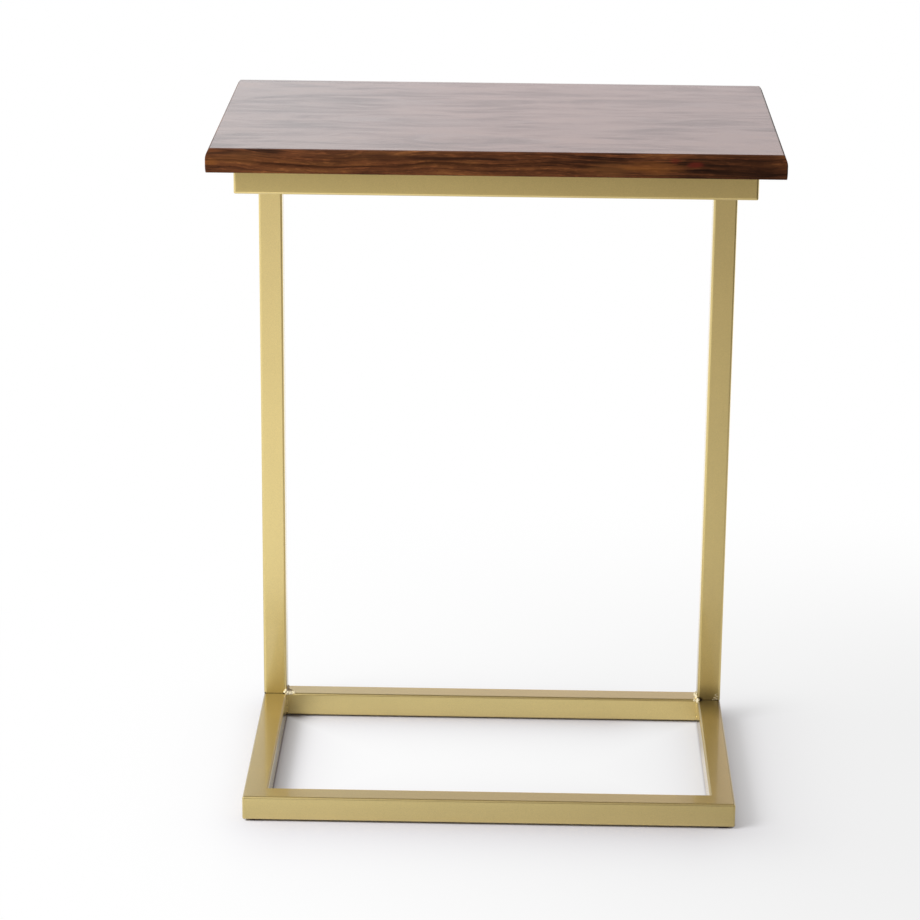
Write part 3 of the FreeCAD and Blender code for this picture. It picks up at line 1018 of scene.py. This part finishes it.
def mirrored_level(tree, parts, look):
    """Level of the white floor in reflections: painted shade inside the base, but for painted light strips
    along the rails, and painted shade and light before it.
    """
    sheet_end = ("X", look.sheet_right, look.sheet_right + SHEET_FADE, 1.0, PAST_SHEET)
    front = ramps(tree, parts, sheet_end, *MIRRORED_FRONT)
    inside = ramps(tree, parts, (*INSIDE_END, look.inside_level, 1.0))
    strip = remap(tree, calc(tree, "ABSOLUTE", parts["X"]), *STRIP_SIDES)
    strip = product(tree, strip, ramps(tree, parts, *STRIP_ENDS))
    inside = between(tree, strip, inside, STRIP_LEVEL)
    return between(tree, ramps(tree, parts, INSIDE_START), front, inside)


def warm_share(tree, parts):
    """How warm the white floor is in reflections."""
    front = calc(tree, "MAXIMUM", ramps(tree, parts, WARM_SIDE), ramps(tree, parts, WARM_FAR))
    front = product(tree, front, ramps(tree, parts, WARM_FRONT))
    return calc(tree, "MAXIMUM", front, ramps(tree, parts, WARM_RIGHT))


def lay_floor(look):
    """Sheet of floor that keeps the shadow near the table and fades to a glowing white further out, with
    painted shade and light in it.
    """
    reach = look.floor_reach
    mesh = bpy.data.meshes.new("floor")
    mesh.from_pydata([(-reach, -look.floor_front, 0), (reach, -look.floor_front, 0),
                      (reach, reach, 0), (-reach, reach, 0)], [], [(0, 1, 2, 3)])
    material, tree, shader = new_material("floor_paper", Roughness=0.9, Specular_IOR_Level=0.1)
    path = add_node(tree, "ShaderNodeLightPath").outputs
    straight = path["Is Camera Ray"]
    paper = blend(tree, path["Is Glossy Ray"], linear(look.floor), linear(look.floor, MIRRORED_PAPER))
    feed(tree, shader, Base_Color=paper)
    here = object_place(tree)
    parts = split(tree, here)
    shade, away = rail_shade(tree, here, look)
    fade = product(
        tree, calc(tree, "SUBTRACT", 1.0, shade), remap(tree, away, 0.0, 2 * MM), seen_directly(tree))
    seen = calc(tree, "SUBTRACT", 1.0, ramps(tree, parts, *PAINTED_SHADE_RIGHT))
    level = between(tree, straight, mirrored_level(tree, parts, look), seen)
    warm = product(tree, warm_share(tree, parts), calc(tree, "SUBTRACT", 1.0, straight))
    tint = dimmed(tree, blend(tree, warm, WHITE, linear(look.far_floor)), level)
    white = add_node(tree, "ShaderNodeEmission", {"Color": tint, "Strength": 1.0})
    above = add_node(tree, "ShaderNodeMixShader", {
        0: fade, 1: shader.outputs["BSDF"], 2: white.outputs["Emission"]})
    below = add_node(tree, "ShaderNodeNewGeometry").outputs["Backfacing"]
    clear = add_node(tree, "ShaderNodeBsdfTransparent")
    sheet = add_node(tree, "ShaderNodeMixShader", {
        0: below, 1: above.outputs["Shader"], 2: clear.outputs["BSDF"]})
    output = next(node for node in tree.nodes if node.type == "OUTPUT_MATERIAL")
    feed(tree, output, Surface=sheet.outputs["Shader"])
    mesh.materials.append(material)
    new_object("floor", mesh)


# Ramps over the directions in the room, as parts of a unit vector

# The room in front and above, which reflections show brighter
FRONT_ROOM = (("Y", 0.3, -0.2), ("Z", 0.2, 0.6), ("X", -0.09, 0.07, 1.0, 0.05))
# Where the backdrop hangs, and its levels from left to right
BACKDROP = (("Y", 0.5, 0.96), ("Z", 0.475, 0.285))
BACKDROP_LEVELS = (("X", -0.7, 0.7, 1.35, 0.65), ("X", -0.28, -0.1, 0.4, 1.0), ("X", 0.1, 0.28, 1.0, 0.4))
# Where the light turns to its colour from the left
LEFT_LIGHT = ("X", 0.0, -0.08)


def set_world(look):
    """White backdrop behind the table and a dim room; the camera sees white all round."""
    world = bpy.data.worlds.new("studio")
    bpy.context.scene.world = world
    world.use_nodes = True
    tree = world.node_tree
    toward = split(tree, add_node(tree, "ShaderNodeTexCoord").outputs["Generated"])
    room = between(tree, ramps(tree, toward, *FRONT_ROOM), look.room, look.front_room)
    rest = between(tree, seen_directly(tree), look.fill, room)
    lit = product(tree, ramps(tree, toward, *BACKDROP_LEVELS), look.backdrop)
    level = between(tree, ramps(tree, toward, *BACKDROP), rest, lit)
    shade = blend(tree, ramps(tree, toward, LEFT_LIGHT), linear(look.white), linear(look.left_white))
    straight = add_node(tree, "ShaderNodeLightPath").outputs["Is Camera Ray"]
    background = next(node for node in tree.nodes if node.type == "BACKGROUND")
    feed(tree, background, Color=blend(tree, straight, shade, WHITE),
         Strength=calc(tree, "MAXIMUM", level, straight))


def set_key(look):
    """Large soft lamp in two halves, of which glossy surfaces mirror only one."""
    middle = (CAD_BOX[0] + CAD_BOX[1]) / 2
    for name, share, mirrored in (("key", 1 - look.key_shine, False), ("key_shine", look.key_shine, True)):
        lamp = bpy.data.lights.new(name, "AREA")
        lamp.size = look.key_size
        lamp.energy = look.key_power * share
        key = new_object(name, lamp)
        key.visible_glossy = mirrored
        key.location = look.key_place
        key.rotation_euler = (middle - key.location).to_track_quat("-Z", "Y").to_euler()


def set_camera(look):
    camera = bpy.data.cameras.new("camera")
    camera.lens = look.lens
    camera.sensor_width = 36.0
    body = new_object("camera", camera)
    aim = (Matrix.Rotation(-look.camera_yaw, 4, "Z")
           @ Matrix.Rotation(math.pi / 2 - look.camera_pitch, 4, "X")
           @ Matrix.Rotation(-look.camera_roll, 4, "Z"))
    body.matrix_world = Matrix.Translation(look.camera_place) @ aim
    bpy.context.scene.camera = body


# Sidebar

class SIDETABLE_PT_panel(bpy.types.Panel):
    """Sidebar with the table's pieces and settings"""
    bl_idname = "SIDETABLE_PT_panel"
    bl_label = "Side Table"
    bl_space_type = "VIEW_3D"
    bl_region_type = "UI"
    bl_category = "Side Table"

    def draw(self, context):
        for operator in OPERATORS:
            self.layout.operator(operator.bl_idname)
        settings = context.scene.side_table
        for part in (settings.top, settings.frame, settings.small, settings.stage):
            column = self.layout.box().column()
            for name in part.__annotations__:
                column.prop(part, name)


OPERATORS = (
    SIDETABLE_OT_boards, SIDETABLE_OT_tubes, SIDETABLE_OT_upright_welds, SIDETABLE_OT_corner_welds,
    SIDETABLE_OT_pads, SIDETABLE_OT_screws, SIDETABLE_OT_stage,
)
CLASSES = (
    SIDETABLE_PG_top, SIDETABLE_PG_frame, SIDETABLE_PG_small, SIDETABLE_PG_stage, SIDETABLE_PG_settings,
    *OPERATORS, SIDETABLE_PT_panel,
)


def register():
    for cls in CLASSES:
        bpy.utils.register_class(cls)
    bpy.types.Scene.side_table = PointerProperty(type=SIDETABLE_PG_settings)


def unregister():
    del bpy.types.Scene.side_table
    for cls in reversed(CLASSES):
        bpy.utils.unregister_class(cls)


def main():
    register()
    bpy.ops.side_table.boards()
    bpy.ops.side_table.tubes()
    bpy.ops.side_table.upright_welds()
    bpy.ops.side_table.corner_welds()
    bpy.ops.side_table.pads()
    bpy.ops.side_table.screws()
    bpy.ops.side_table.stage()


if __name__ == "__main__":
    main()
